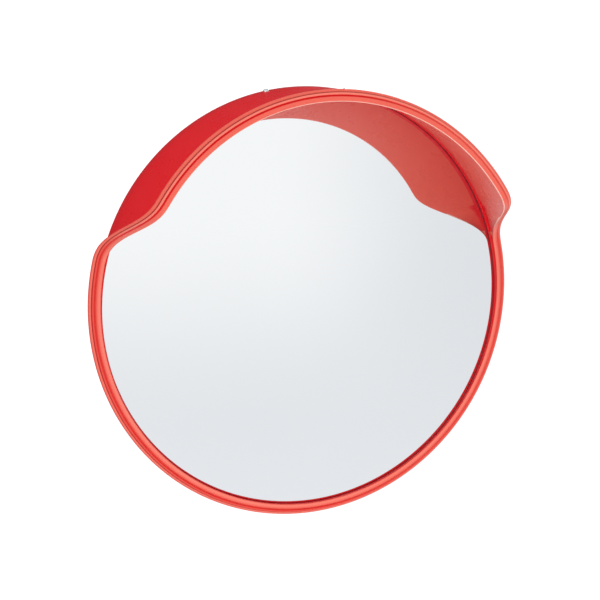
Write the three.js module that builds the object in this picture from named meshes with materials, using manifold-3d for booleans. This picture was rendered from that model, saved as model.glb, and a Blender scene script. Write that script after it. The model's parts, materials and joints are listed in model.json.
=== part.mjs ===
// Convex security mirror, 600 mm across, in a moulded frame with a hood, on a bracket that pans and tilts.
// Millimetres, +Z up. The origin is the centre of the wall plate's rear face, and the mirror looks along -Y.
import * as THREE from "three";
import { mergeVertices } from "three/addons/utils/BufferGeometryUtils.js";
import Module from "manifold-3d";

const wasm = await Module();
wasm.setup();

const GAP = 0.3; // clearance left between neighbouring pieces
const PI = Math.PI;

// Frame. Depths inside the head are measured from the rim's front plane, positive towards the wall.
const RIM_Y = -300;
const RIM_OUTER_R = 300;
const BEAD_WIDTH = 16; // the moulded bead around the opening
const BEAD_DEPTH = 10.2;
const LIP_R = RIM_OUTER_R - BEAD_WIDTH; // inner edge of the bead below the hood
const HOOD_REACH = 108; // how far the hood stands out at its top
const HOOD_EXTRA = 14; // and how much further towards its sides
const HOOD_TAPER = 0.135; // the hood narrows by this much for each unit of reach
const HOOD_START = THREE.MathUtils.degToRad(11.5); // angles above the horizontal where the hood's edge
const HOOD_FULL = THREE.MathUtils.degToRad(33.3); // begins to sweep forward and where it is fully out
const WALL = 2.1;
const RING_STEPS = 64;

// The pocket that holds the mirror is a little lower than the rim's own centre.
const POCKET_DROP = 3;
const MIRROR_R = 283;
const POCKET_R = MIRROR_R + 0.7;
const LEDGE_R = MIRROR_R - 0.4;
const HOOD_BASE_R = LEDGE_R + 0.8;
const HOOD_UPRIGHT = 4.6; // the hood's inside stands straight this far out before it tapers
const HOOD_KNEE = 2; // depth at which the hood's outside begins to taper
const LEDGE_FRONT = 1.2;
const LEDGE_BACK = 3.8;
const FRAME_BACK = 18;
const BODY_R = POCKET_R + WALL;

// Mirror: a dome with a short skirt.
const MIRROR_EDGE = 5.4;
const DOME_RADIUS = 1500;
const DOME_THICKNESS = 3;
const SKIRT_BACK = 17.6;
const DOME_STEPS = 4;

// Rear shell.
const SHELL_WALL = 3;
const SHELL_FRONT = 9;
const SHELL_LIP_R = MIRROR_R - DOME_THICKNESS - GAP;
const BOSS_FACE = 63; // rear face of the flat in the middle, where the bracket bolts on
const BOSS_R = 95;

// Screws that go in through the frame's wall, as angles around the mirror's axis from +X. The two at the top
// lean forward on bosses, and their heads are larger.
const TOP_SCREWS = [78.6, 101.4];
const LOW_SCREWS = [195, 245, 295, 345];
const TOP_SCREW_DEPTH = 9.4;
const TOP_SCREW_LEAN = THREE.MathUtils.degToRad(22);
const LOW_SCREW_DEPTH = 14.1;
const SCREW_SEAT = BODY_R + GAP; // radius at the middle of the head's underside
const SCREW_R = 1.6;
const SCREW_HOLE_R = 2.1;
const BOSS_PAD_R = 4.7;

// Tilt bracket, bolted through the shell into a backing plate.
const STEEL = 4;
const BOLT_X = 45;
const BOLT_Z = 30;
const BACKING_THICKNESS = 3;
const PAD_THICKNESS = 2;
const BRACKET_FACE = BOSS_FACE + PAD_THICKNESS + 2 * GAP;
const TILT_FROM_PLATE = 34;
const TILT_DEPTH = BRACKET_FACE + STEEL + TILT_FROM_PLATE; // in the head's own depth
const TILT_Y = RIM_Y + TILT_DEPTH;
const EAR_ROOT = 22;
const EAR_END_R = 15;

// Knuckle, friction discs and bushes.
const KNUCKLE_LENGTH = 36; // from the tilt axis to the pan axis
const PAN_Y = TILT_Y + KNUCKLE_LENGTH;
const TILT_BARREL_R = 13;
const TILT_BARREL_HALF = 18;
const DISC_THICKNESS = 2;
const EAR_INNER = TILT_BARREL_HALF + DISC_THICKNESS + 2 * GAP;
const EAR_OUTER = EAR_INNER + STEEL;
const PAN_BARREL_R = 14;
const PAN_BARREL_HALF = 21.1;
const BUSH_FLANGE = 2.3;
const BUSH_R = 6;
const BUSH_DEPTH = 12;

// Fork, arm and wall plate.
const FORK_INNER = PAN_BARREL_HALF + BUSH_FLANGE + 2 * GAP;
const FORK_OUTER = FORK_INNER + STEEL;
const FORK_WIDTH = 40;
const FORK_WEB = PAN_Y + 26;
const ARM_R = 17;
const ARM_BORE_R = 14;
const GUSSET_RISE = 34;
const GUSSET_RUN = 46;
const GUSSET_THICKNESS = 3;
const PLATE_SIDE = 120;
const PLATE_CORNER_R = 12;
const WALL_HOLE = 45;
const WALL_HOLE_R = 4.5;

// M8 pivot bolts with square necks, M6 bracket bolts.
const M8_R = 3.95;
const M8_HOLE_R = 4.35;
const NECK = 7.9;
const NECK_HOLE = 8.6;
const M8_WASHER = 1.6;
const M6_R = 2.95;
const M6_HOLE_R = 3.35;
const M6_WASHER = 1.4;
const M6_HEAD = 4;
const M6_NUT = 5;
const WING_SPAN = 39;
const WING_HEIGHT = 20;

const finish = (color, roughness, metalness) =>
  new THREE.MeshStandardMaterial({ color, roughness, metalness });
const RED_PLASTIC = finish(0xd8241f, 0.32, 0);
const MIRROR = finish(0xe6eaec, 0.03, 1);
const RUBBER = finish(0x161616, 0.85, 0);
const RED_RUBBER = finish(0x5a0d14, 0.6, 0);
const GALVANISED = finish(0x9aa0a3, 0.45, 1);
const ZINC = finish(0xc4c8ca, 0.3, 1);
const CAST = finish(0x2b2d2f, 0.55, 0.3);
const NYLON = finish(0xe9e6dc, 0.5, 0);

const root = new THREE.Group();
const head = new THREE.Group(); // what tilts with the mirror, in the head's own depth
head.position.y = RIM_Y;
root.add(head);

function piece(name, geometry, material, parent) {
  const mesh = new THREE.Mesh(geometry, material);
  mesh.name = name;
  parent.add(mesh);
}

// Booleans.
function solidOf(geometry) {
  const bare = geometry.clone();
  for (const extra of ["normal", "uv"]) bare.deleteAttribute(extra);
  const merged = mergeVertices(bare, 1e-4);
  return new wasm.Manifold(
    new wasm.Mesh({
      numProp: 3,
      vertProperties: merged.attributes.position.array,
      triVerts: new Uint32Array(merged.index.array),
    }),
  );
}

function geometryOf(solid) {
  const { vertProperties, triVerts } = solid.getMesh();
  const geometry = new THREE.BufferGeometry();
  geometry.setAttribute("position", new THREE.BufferAttribute(vertProperties, 3));
  geometry.setIndex(new THREE.BufferAttribute(triVerts, 1));
  return geometry;
}

const cut = (geometry, ...tools) =>
  geometryOf(tools.reduce((left, tool) => left.subtract(solidOf(tool)), solidOf(geometry)));
const join = (...parts) => geometryOf(parts.map(solidOf).reduce((a, b) => a.add(b)));
const common = (a, b) => geometryOf(solidOf(a).intersect(solidOf(b)));

// A profile of [radius, y] points turned about Y. It starts and ends on the axis, or closes on itself.
function turned(profile, segments) {
  const points = profile.map(([r, y]) => new THREE.Vector2(r, y));
  return new THREE.LatheGeometry(points, segments);
}

function turnedRing(profile, segments) {
  return turned([...profile, profile[0]], segments);
}

// A rod along Y, from y0 to y1.
function rod(radius, y0, y1, segments = 16) {
  return new THREE.CylinderGeometry(radius, radius, y1 - y0, segments).translate(0, (y0 + y1) / 2, 0);
}

// A flat ring along Y, from y0 to y1.
function ring(inner, outer, y0, y1, segments = 16) {
  const section = [
    [inner, y0],
    [outer, y0],
    [outer, y1],
    [inner, y1],
  ];
  return turnedRing(section, segments);
}

const alongX = (geometry) => geometry.rotateZ(-PI / 2); // +Y becomes +X
const alongZ = (geometry) => geometry.rotateX(PI / 2); // +Y becomes +Z
const downZ = (geometry) => geometry.rotateX(-PI / 2); // +Y becomes -Z

// A plate whose outline is in X and Z, from y = front to y = front + thickness.
function plate(outline, front, thickness) {
  return new THREE.ExtrudeGeometry(outline, { depth: thickness, bevelEnabled: false, curveSegments: 5 })
    .rotateX(PI / 2)
    .translate(0, front + thickness, 0);
}

// A plate whose outline is in Y and Z, from x = left to x = left + thickness.
function sidePlate(outline, left, thickness) {
  return new THREE.ExtrudeGeometry(outline, { depth: thickness, bevelEnabled: false, curveSegments: 5 })
    .rotateX(PI / 2)
    .rotateZ(PI / 2)
    .translate(left, 0, 0);
}

function drilledRectangle(width, height, radius, holes, holeRadius) {
  const outline = corners(width / 2 - radius, height / 2 - radius).flatMap(([x, z], corner) =>
    [0, 1, 2, 3].map((i) => {
      const angle = ((corner + i / 3) * PI) / 2;
      return new THREE.Vector2(x + radius * Math.cos(angle), z + radius * Math.sin(angle));
    }),
  );
  const shape = new THREE.Shape(outline);
  for (const [x, z] of holes) {
    const hole = new THREE.Path();
    hole.absarc(x, z, holeRadius, 0, 2 * PI, true);
    shape.holes.push(hole);
  }
  return shape;
}

const corners = (x, z) => [
  [x, z],
  [-x, z],
  [-x, -z],
  [x, -z],
];

// Hood frame: one section swept round the opening, which runs forward over the top to make the hood.
function hoodShare(angle) {
  const above = Math.asin(Math.sin(angle));
  return THREE.MathUtils.smootherstep(above, HOOD_START, HOOD_FULL);
}

function frameSection(angle) {
  const mix = THREE.MathUtils.lerp;
  const share = hoodShare(angle);
  const reach = share * (HOOD_REACH + HOOD_EXTRA * (1 - Math.sin(angle)));
  const lip = LIP_R - HOOD_TAPER * reach;
  const pocket = (radius) => radius - POCKET_DROP * Math.sin(angle);
  const ledge = mix(Math.min(pocket(LEDGE_R), LIP_R), pocket(LEDGE_R), share);
  const bead = [
    [BEAD_WIDTH - 1.4, BEAD_DEPTH],
    [BEAD_WIDTH, 8.2],
    [BEAD_WIDTH - 1, 5],
    [12.4, 4.6], // step
    [11.8, 2],
    [9.2, 1.2],
    [8, 2.8], // groove
    [6.3, 0.1],
    [0.8, -0.3], // front face
    [0, 0.5], // inner edge
  ].map(([out, back]) => [lip + out, back - reach]);
  return [
    [pocket(BODY_R), FRAME_BACK],
    [pocket(BODY_R), mix(BEAD_DEPTH + 0.8, HOOD_KNEE, share)],
    [mix(pocket(BODY_R), lip + WALL, share), BEAD_DEPTH + 0.4 - reach],
    ...bead,
    [mix(LIP_R, pocket(HOOD_BASE_R - 0.3), share), mix(0.7, -HOOD_UPRIGHT, share)],
    [mix(LIP_R, pocket(HOOD_BASE_R), share), LEDGE_FRONT - 0.3],
    [ledge, LEDGE_FRONT],
    [ledge, LEDGE_BACK],
    [pocket(POCKET_R), LEDGE_BACK + 0.2],
    [pocket(POCKET_R), FRAME_BACK],
  ];
}

// Steps round the frame, closer together where the hood sweeps forward.
function frameAngles() {
  const step = (2 * PI) / RING_STEPS;
  return Array.from({ length: RING_STEPS }, (_, i) => i * step).flatMap((angle) => {
    const share = hoodShare(angle + step / 2);
    return share > 0 && share < 1 ? [angle, angle + step / 2] : [angle];
  });
}

function sweptRound(angles, sectionAt) {
  const sections = angles.map((angle) =>
    sectionAt(angle).map(([r, y]) => [r * Math.cos(angle), y, r * Math.sin(angle)]),
  );
  const count = sections[0].length;
  const index = [];
  for (let i = 0; i < angles.length; i++)
    for (let j = 0; j < count; j++) {
      const [a, b] = [i * count, ((i + 1) % angles.length) * count];
      const k = (j + 1) % count;
      index.push(a + j, b + j, b + k, a + j, b + k, a + k);
    }
  const geometry = new THREE.BufferGeometry();
  geometry.setAttribute("position", new THREE.Float32BufferAttribute(sections.flat(2), 3));
  geometry.setIndex(index);
  return geometry;
}

// A shape along Y, with the screw's seat at y = 0, is turned to point outwards at one of the screw places.
function atScrew(geometry, degrees) {
  const top = TOP_SCREWS.includes(degrees);
  return alongX(geometry)
    .rotateZ(top ? -TOP_SCREW_LEAN : 0)
    .translate(SCREW_SEAT, 0, 0)
    .rotateY(-THREE.MathUtils.degToRad(degrees))
    .translate(0, top ? TOP_SCREW_DEPTH : LOW_SCREW_DEPTH, -POCKET_DROP);
}

const SCREW_ANGLES = [...TOP_SCREWS, ...LOW_SCREWS];
const screwHoles = () => SCREW_ANGLES.map((degrees) => atScrew(rod(SCREW_HOLE_R, -25, 14, 8), degrees));

// Each top screw stands on a round boss, and the wall in front of it is cut away to clear the head.
function buildFrame() {
  const inside = rod(POCKET_R + 0.4, -20, 40, RING_STEPS).translate(0, 0, -POCKET_DROP);
  const bosses = TOP_SCREWS.map((degrees) => cut(atScrew(rod(BOSS_PAD_R, -6, -GAP, 16), degrees), inside));
  const clearances = TOP_SCREWS.map((degrees) => atScrew(rod(BOSS_PAD_R - 0.4, -GAP, 9, 16), degrees));
  const frame = join(cut(sweptRound(frameAngles(), frameSection), ...clearances), ...bosses);
  piece("hood_frame", cut(frame, ...screwHoles()), RED_PLASTIC, head);
}

// Mirror dome: front and rear spherical faces joined by the skirt.
function domeArc(edgeR, edgeDepth) {
  const centre = edgeDepth + Math.sqrt(DOME_RADIUS ** 2 - edgeR ** 2);
  const half = Math.asin(edgeR / DOME_RADIUS);
  return Array.from({ length: DOME_STEPS + 1 }, (_, i) => {
    const a = (half * i) / DOME_STEPS;
    return [DOME_RADIUS * Math.sin(a), centre - DOME_RADIUS * Math.cos(a)];
  });
}

function buildMirror() {
  const inner = MIRROR_R - DOME_THICKNESS;
  const front = domeArc(MIRROR_R, MIRROR_EDGE);
  const rear = domeArc(inner, MIRROR_EDGE + DOME_THICKNESS - 0.4).reverse();
  const dome = turned([...front, [MIRROR_R, SKIRT_BACK], [inner, SKIRT_BACK], ...rear], RING_STEPS);
  piece("mirror_dome", cut(dome.translate(0, 0, -POCKET_DROP), ...screwHoles()), MIRROR, head);
  const gasket = ring(MIRROR_R - 0.9, MIRROR_R + 0.2, LEDGE_BACK + GAP, MIRROR_EDGE - GAP, RING_STEPS);
  piece("mirror_gasket", gasket.translate(0, 0, -POCKET_DROP), RED_RUBBER, head);
}

// Rear shell: a lip inside the mirror's skirt, a flange that closes the frame, and a dished back with a rib.
function buildShell() {
  const flange = FRAME_BACK + GAP;
  const profile = [
    [0, BOSS_FACE - SHELL_WALL],
    [BOSS_R, BOSS_FACE - SHELL_WALL],
    [225, 37.4],
    [SHELL_LIP_R - SHELL_WALL, flange + 2],
    [SHELL_LIP_R - SHELL_WALL, SHELL_FRONT],
    [SHELL_LIP_R, SHELL_FRONT],
    [SHELL_LIP_R, flange],
    [BODY_R, flange],
    [BODY_R - 0.6, flange + 2.4],
    [BODY_R - 5, flange + 5.5],
    [206, 47.2],
    [200, 50.6],
    [192, 49.6],
    [BOSS_R + 6, 61.2],
    [BOSS_R, BOSS_FACE],
    [0, BOSS_FACE],
  ];
  const shell = turned(profile, RING_STEPS).translate(0, 0, -POCKET_DROP);
  const boltHoles = corners(BOLT_X, BOLT_Z).map(([x, z]) => rod(M6_HOLE_R, 50, 70, 10).translate(x, 0, z));
  piece("rear_shell", cut(shell, ...screwHoles(), ...boltHoles), RED_PLASTIC, head);
}

// Frame screws: pan head outside the frame's wall, shank through the mirror's skirt and the shell's lip.
function buildFrameScrews() {
  SCREW_ANGLES.forEach((degrees, i) => {
    const headR = TOP_SCREWS.includes(degrees) ? 3.8 : 3;
    const profile = [
      [0, -13],
      [SCREW_R, -11],
      [SCREW_R, 0],
      [headR, 0],
      [headR - 0.5, 1.4],
      [0, 2],
    ];
    piece(`frame_screw_${i + 1}`, atScrew(turned(profile, 10), degrees), ZINC, head);
  });
}

// Backing plate inside the shell, pad behind it, and the bolts that clamp the tilt bracket.
const hexPrism = (acrossFlats, y0, y1) => rod(acrossFlats / 2 / Math.cos(PI / 6), y0, y1, 6);

function buildClampStack() {
  const places = corners(BOLT_X, BOLT_Z);
  const backingFront = BOSS_FACE - SHELL_WALL - GAP - BACKING_THICKNESS;
  const backing = drilledRectangle(130, 100, 8, places, M6_HOLE_R);
  piece("backing_plate", plate(backing, backingFront, BACKING_THICKNESS), ZINC, head);
  const pad = drilledRectangle(126, 96, 8, places, M6_HOLE_R);
  piece("bracket_pad", plate(pad, BOSS_FACE + GAP, PAD_THICKNESS), RUBBER, head);

  const seat = backingFront - GAP;
  const washerAt = BRACKET_FACE + STEEL + GAP;
  const nutAt = washerAt + M6_WASHER + GAP;
  places.forEach(([x, z], i) => {
    const bolt = join(hexPrism(10, seat - M6_HEAD, seat), rod(M6_R, seat - 1, nutAt + M6_NUT + 2.5, 10));
    const washer = ring(M6_HOLE_R, 6, washerAt, washerAt + M6_WASHER, 12);
    const nut = cut(hexPrism(10, nutAt, nutAt + M6_NUT), rod(M6_HOLE_R, nutAt - 1, nutAt + 9, 10));
    piece(`bracket_bolt_${i + 1}`, bolt.translate(x, 0, z), ZINC, head);
    piece(`bracket_washer_${i + 1}`, washer.translate(x, 0, z), ZINC, head);
    piece(`bracket_nut_${i + 1}`, nut.translate(x, 0, z), ZINC, head);
  });
}

// Pivot hardware, each along Y with its seat at y = 0.
function pivotBolt(length) {
  const profile = [
    [0, -4.6],
    [5, -4],
    [8.6, -2],
    [9.4, 0],
    [M8_R, 0],
    [M8_R, length],
    [0, length],
  ];
  return join(turned(profile, 16), new THREE.BoxGeometry(NECK, STEEL, NECK).translate(0, STEEL / 2, 0));
}

function wingNut() {
  const hub = turned(
    [
      [0, 0],
      [8, 0],
      [6.6, 9],
      [0, 9],
    ],
    16,
  );
  const wing = new THREE.Shape();
  wing.moveTo(4, 1.5);
  wing.lineTo(8.5, 1.5);
  wing.lineTo(15.5, 6.6);
  wing.absarc(WING_SPAN / 2 - 5, WING_HEIGHT - 5.5, 5, -0.35 * PI, 0.75 * PI);
  wing.lineTo(4, 8.5);
  wing.closePath();
  const options = { depth: 3, bevelEnabled: false, curveSegments: 3 };
  const blade = () => new THREE.ExtrudeGeometry(wing, options).translate(0, 0, -1.5);
  return cut(join(hub, blade(), blade().rotateY(PI)), rod(M8_HOLE_R, -1, 12));
}

const m8Washer = () => ring(M8_HOLE_R, 8, 0, M8_WASHER);
const neckHole = () => new THREE.BoxGeometry(NECK_HOLE, 4 * STEEL, NECK_HOLE);

// Tilt bracket: a pressed steel plate with two ears that hold the tilt bolt.
function ear(left) {
  const outline = new THREE.Shape(); // in Y and Z about the tilt axis
  const foot = -TILT_FROM_PLATE - 1;
  outline.moveTo(foot, -EAR_ROOT);
  outline.lineTo(foot + 6, -EAR_ROOT);
  outline.absarc(0, 0, EAR_END_R, -0.55 * PI, 0.55 * PI);
  outline.lineTo(foot + 6, EAR_ROOT);
  outline.lineTo(foot, EAR_ROOT);
  outline.closePath();
  return sidePlate(outline, left, STEEL).translate(0, TILT_DEPTH, 0);
}

function buildTiltBracket() {
  const back = plate(drilledRectangle(120, 90, 8, corners(BOLT_X, BOLT_Z), M6_HOLE_R), BRACKET_FACE, STEEL);
  const onAxis = (geometry, x) => alongX(geometry).translate(x, TILT_DEPTH, 0);
  const bracket = cut(
    join(back, ear(EAR_INNER), ear(-EAR_OUTER)),
    onAxis(rod(M8_HOLE_R, 0, 40), 0),
    onAxis(neckHole(), -EAR_OUTER),
  );
  piece("tilt_bracket", bracket, GALVANISED, head);
  piece("tilt_bolt", onAxis(pivotBolt(2 * EAR_OUTER + 18), -EAR_OUTER - GAP), ZINC, head);
  const disc = () => ring(M8_HOLE_R, 12.5, 0, DISC_THICKNESS);
  piece("tilt_friction_disc_left", onAxis(disc(), -EAR_INNER + GAP), NYLON, head);
  piece("tilt_friction_disc_right", onAxis(disc(), TILT_BARREL_HALF + GAP), NYLON, head);
  piece("tilt_washer", onAxis(m8Washer(), EAR_OUTER + GAP), ZINC, head);
  piece("tilt_wing_nut", onAxis(wingNut(), EAR_OUTER + M8_WASHER + 2 * GAP), ZINC, head);
}

// Swivel knuckle: an upright barrel for the pan bolt, a level one for the tilt bolt, and a flanged bush at
// each end of the upright one.
function buildKnuckle() {
  const upright = (geometry, z = 0) => alongZ(geometry).translate(0, PAN_Y, z);
  const level = (geometry) => alongX(geometry).translate(0, TILT_Y, 0);
  const socket = PAN_BARREL_HALF - BUSH_DEPTH;
  const knuckle = cut(
    join(
      upright(rod(PAN_BARREL_R, -PAN_BARREL_HALF, PAN_BARREL_HALF, 24)),
      new THREE.BoxGeometry(20, KNUCKLE_LENGTH, 20).translate(0, (PAN_Y + TILT_Y) / 2, 0),
      level(rod(TILT_BARREL_R, -TILT_BARREL_HALF, TILT_BARREL_HALF, 24)),
    ),
    level(rod(M8_HOLE_R, -40, 40)),
    upright(rod(M8_HOLE_R, -40, 40)),
    upright(rod(BUSH_R + GAP, socket, 40)),
    upright(rod(BUSH_R + GAP, -40, -socket)),
  );
  piece("swivel_knuckle", knuckle, CAST, root);

  const bush = () =>
    turnedRing(
      [
        [M8_HOLE_R, GAP - BUSH_DEPTH],
        [BUSH_R, GAP - BUSH_DEPTH],
        [BUSH_R, 0],
        [11, 0],
        [11, BUSH_FLANGE],
        [M8_HOLE_R, BUSH_FLANGE],
      ],
      16,
    );
  const seat = PAN_BARREL_HALF + GAP;
  piece("pan_bush_top", upright(bush(), seat), NYLON, root);
  piece("pan_bush_bottom", downZ(bush()).translate(0, PAN_Y, -seat), NYLON, root);
}

// Pan fork: a strap bent into a U, with round ends about the pan axis.
function panFork() {
  const side = new THREE.Shape(); // in Y and Z
  const front = PAN_Y - FORK_WIDTH / 2 - 1;
  side.moveTo(front, -FORK_OUTER);
  side.absarc(FORK_WEB, -FORK_INNER, STEEL, -PI / 2, 0);
  side.absarc(FORK_WEB, FORK_INNER, STEEL, 0, PI / 2);
  side.lineTo(front, FORK_OUTER);
  side.lineTo(front, FORK_INNER);
  side.lineTo(FORK_WEB, FORK_INNER);
  side.lineTo(FORK_WEB, -FORK_INNER);
  side.lineTo(front, -FORK_INNER);
  side.closePath();
  const plan = new THREE.Shape(); // in X and Y
  plan.absarc(0, PAN_Y, FORK_WIDTH / 2, PI, 2 * PI);
  plan.lineTo(FORK_WIDTH / 2, FORK_WEB + 2 * STEEL);
  plan.lineTo(-FORK_WIDTH / 2, FORK_WEB + 2 * STEEL);
  plan.closePath();
  const trim = new THREE.ExtrudeGeometry(plan, { depth: 80, bevelEnabled: false, curveSegments: 12 });
  return cut(
    common(sidePlate(side, -FORK_WIDTH / 2, FORK_WIDTH), trim.translate(0, 0, -40)),
    alongZ(rod(M8_HOLE_R, -60, 0)).translate(0, PAN_Y, 0),
    alongZ(neckHole()).translate(0, PAN_Y, FORK_OUTER),
  );
}

function buildPanPivot() {
  const below = (geometry, z) => downZ(geometry).translate(0, PAN_Y, z);
  piece("pan_fork", panFork(), GALVANISED, root);
  piece("pan_bolt", below(pivotBolt(2 * FORK_OUTER + 18), FORK_OUTER + GAP), ZINC, root);
  piece("pan_washer", below(m8Washer(), -FORK_OUTER - GAP), ZINC, root);
  piece("pan_wing_nut", below(wingNut(), -FORK_OUTER - M8_WASHER - 2 * GAP), ZINC, root);
}

// Arm, gussets above and below it, and the wall plate.
function gusset() {
  const back = -STEEL - GAP;
  const foot = ARM_R + GAP;
  const outline = new THREE.Shape(); // in Y and Z
  outline.moveTo(back, foot);
  outline.lineTo(back, foot + GUSSET_RISE);
  outline.lineTo(back - 6, foot + GUSSET_RISE);
  outline.lineTo(back - GUSSET_RUN, foot + 5);
  outline.lineTo(back - GUSSET_RUN, foot);
  outline.closePath();
  return sidePlate(outline, -GUSSET_THICKNESS / 2, GUSSET_THICKNESS);
}

function buildWallBracket() {
  const arm = ring(ARM_BORE_R, ARM_R, FORK_WEB + STEEL + GAP, -STEEL - GAP, 24);
  piece("support_arm", arm, GALVANISED, root);
  piece("gusset_top", gusset(), GALVANISED, root);
  piece("gusset_bottom", gusset().rotateY(PI), GALVANISED, root);
  const holes = corners(WALL_HOLE, WALL_HOLE);
  const outline = drilledRectangle(PLATE_SIDE, PLATE_SIDE, PLATE_CORNER_R, holes, WALL_HOLE_R);
  piece("wall_plate", plate(outline, -STEEL, STEEL), GALVANISED, root);
}

buildFrame();
buildMirror();
buildShell();
buildFrameScrews();
buildClampStack();
buildTiltBracket();
buildKnuckle();
buildPanPivot();
buildWallBracket();

export default root;
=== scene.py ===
"""The convex security mirror's looks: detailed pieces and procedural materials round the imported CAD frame.

Lengths below are in millimetres and become metres as each mesh is made. The head's own depth is measured
from the rim's front plane, positive towards the wall, as in the CAD source.
"""

import json
import math

import bmesh
import bpy
from mathutils import Matrix, Vector
from mathutils.geometry import tessellate_polygon

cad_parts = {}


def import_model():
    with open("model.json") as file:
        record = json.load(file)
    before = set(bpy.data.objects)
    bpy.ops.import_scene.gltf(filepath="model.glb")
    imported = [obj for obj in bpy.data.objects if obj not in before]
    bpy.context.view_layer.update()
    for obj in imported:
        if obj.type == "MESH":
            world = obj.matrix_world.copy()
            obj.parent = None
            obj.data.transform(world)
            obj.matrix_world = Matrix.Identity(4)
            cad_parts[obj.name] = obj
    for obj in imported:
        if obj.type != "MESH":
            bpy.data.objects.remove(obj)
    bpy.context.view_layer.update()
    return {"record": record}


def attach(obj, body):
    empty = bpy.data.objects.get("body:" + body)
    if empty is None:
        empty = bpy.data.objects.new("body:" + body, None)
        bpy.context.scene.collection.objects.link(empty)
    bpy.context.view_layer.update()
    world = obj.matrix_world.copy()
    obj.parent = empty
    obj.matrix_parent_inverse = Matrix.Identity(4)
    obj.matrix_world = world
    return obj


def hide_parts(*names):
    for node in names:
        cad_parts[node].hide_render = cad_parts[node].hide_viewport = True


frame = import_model()

MM = 0.001
TAU = 2 * math.pi

# The same driving dimensions as the CAD source.
GAP = 0.3
RIM_Y = -300
BEAD_WIDTH, BEAD_DEPTH = 16, 10.2
LIP_R = 300 - BEAD_WIDTH
HOOD_REACH, HOOD_EXTRA, HOOD_TAPER = 107.8, 14, 0.135  # just inside the CAD hood
HOOD_START, HOOD_FULL = math.radians(11.5), math.radians(33.3)
WALL = 2.1
POCKET_DROP = 3
MIRROR_R = 283
POCKET_R = MIRROR_R + 0.7
LEDGE_R = MIRROR_R - 0.4
HOOD_BASE_R = LEDGE_R + 0.8
HOOD_UPRIGHT, HOOD_KNEE = 4.6, 2
LEDGE_FRONT, LEDGE_BACK = 1.2, 3.8
FRAME_BACK = 18
BODY_R = POCKET_R + WALL
MIRROR_EDGE = 5.4
DOME_RADIUS, DOME_THICKNESS = 1500, 3
SKIRT_BACK = 17.6
SHELL_WALL, SHELL_FRONT = 3, 9
SHELL_LIP_R = MIRROR_R - DOME_THICKNESS - GAP
BOSS_FACE, BOSS_R = 63, 95
TOP_SCREWS, LOW_SCREWS = [78.6, 101.4], [195, 245, 295, 345]
TOP_SCREW_DEPTH, TOP_SCREW_LEAN, LOW_SCREW_DEPTH = 9.4, math.radians(22), 14.1
SCREW_SEAT = BODY_R + GAP
BOSS_PAD_R = 4.7
STEEL = 4
BOLT_X, BOLT_Z = 45, 30
BACKING_THICKNESS, PAD_THICKNESS = 3, 2
BRACKET_FACE = BOSS_FACE + PAD_THICKNESS + 2 * GAP
TILT_FROM_PLATE = 34
TILT_Y = RIM_Y + BRACKET_FACE + STEEL + TILT_FROM_PLATE
PAN_Y = TILT_Y + 36
EAR_ROOT, EAR_END_R = 22, 15
TILT_BARREL_R, TILT_BARREL_HALF = 13, 18
DISC_THICKNESS = 2
EAR_INNER = TILT_BARREL_HALF + DISC_THICKNESS + 2 * GAP
EAR_OUTER = EAR_INNER + STEEL
PAN_BARREL_R, PAN_BARREL_HALF = 14, 21.1
BUSH_FLANGE, BUSH_R, BUSH_DEPTH = 2.3, 6, 12
FORK_INNER = PAN_BARREL_HALF + BUSH_FLANGE + 2 * GAP
FORK_OUTER = FORK_INNER + STEEL
FORK_WIDTH = 40
FORK_WEB = PAN_Y + 26
ARM_R, ARM_BORE_R = 17, 14
GUSSET_RISE, GUSSET_RUN, GUSSET_THICKNESS = 34, 46, 3
PLATE_SIDE, PLATE_CORNER_R = 120, 12
WALL_HOLE, WALL_HOLE_R = 45, 4.5
M8_R, M8_HOLE_R, NECK, NECK_HOLE, M8_WASHER = 3.95, 4.35, 7.9, 8.6, 1.6
M6_R, M6_HOLE_R, M6_WASHER, M6_HEAD, M6_NUT = 2.95, 3.35, 1.4, 4, 5
M6_PITCH, M8_PITCH = 1.0, 1.25
WING_SPAN, WING_HEIGHT = 39, 20

# Finer steps than the CAD's, for the looks only.
FRAME_STEPS, SWEEP_STEPS, MIRROR_STEPS, SHELL_STEPS = 480, 3, 320, 256


# ---------------------------------------------------------------- shapes


def arc(cx, cy, radius, start, end, steps):
    """Points on an arc about (cx, cy), angles in degrees."""
    turn = [math.radians(start + (end - start) * i / steps) for i in range(steps + 1)]
    return [(cx + radius * math.cos(a), cy + radius * math.sin(a)) for a in turn]


def filleted(points, radii, steps=4, closed=True):
    """A polygon with each corner replaced by a curve that starts radius away from it along each side."""
    made, count = [], len(points)
    for i, (p, radius) in enumerate(zip(points, radii)):
        if radius <= 0 or (not closed and i in (0, count - 1)):
            made.append(tuple(p))
            continue
        p = Vector(p)
        before, after = Vector(points[i - 1]) - p, Vector(points[(i + 1) % count]) - p
        a = p + before.normalized() * min(radius, before.length * 0.49)
        b = p + after.normalized() * min(radius, after.length * 0.49)
        for k in range(steps + 1):
            t = k / steps
            made.append(tuple(a * (1 - t) ** 2 + p * (2 * t * (1 - t)) + b * t * t))
    return made


def mesh_piece(name, verts, faces, matrix=None, smooth=40):
    """A mesh object from vertices in millimetres, smooth except where faces meet at more than that angle."""
    place = matrix or Matrix.Identity(4)
    mesh = bpy.data.meshes.new(name)
    mesh.from_pydata([(place @ Vector(v)) * MM for v in verts], [], faces)
    mesh.validate()
    obj = bpy.data.objects.new(name, mesh)
    bpy.context.scene.collection.objects.link(obj)
    tidy_mesh(obj, smooth)
    return obj


def tidy_mesh(obj, smooth=40):
    bm = bmesh.new()
    bm.from_mesh(obj.data)
    bmesh.ops.remove_doubles(bm, verts=bm.verts, dist=1e-7)
    bmesh.ops.recalc_face_normals(bm, faces=bm.faces)
    bm.to_mesh(obj.data)
    bm.free()
    obj.data.shade_smooth()
    obj.data.set_sharp_from_angle(angle=math.radians(smooth))


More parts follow.
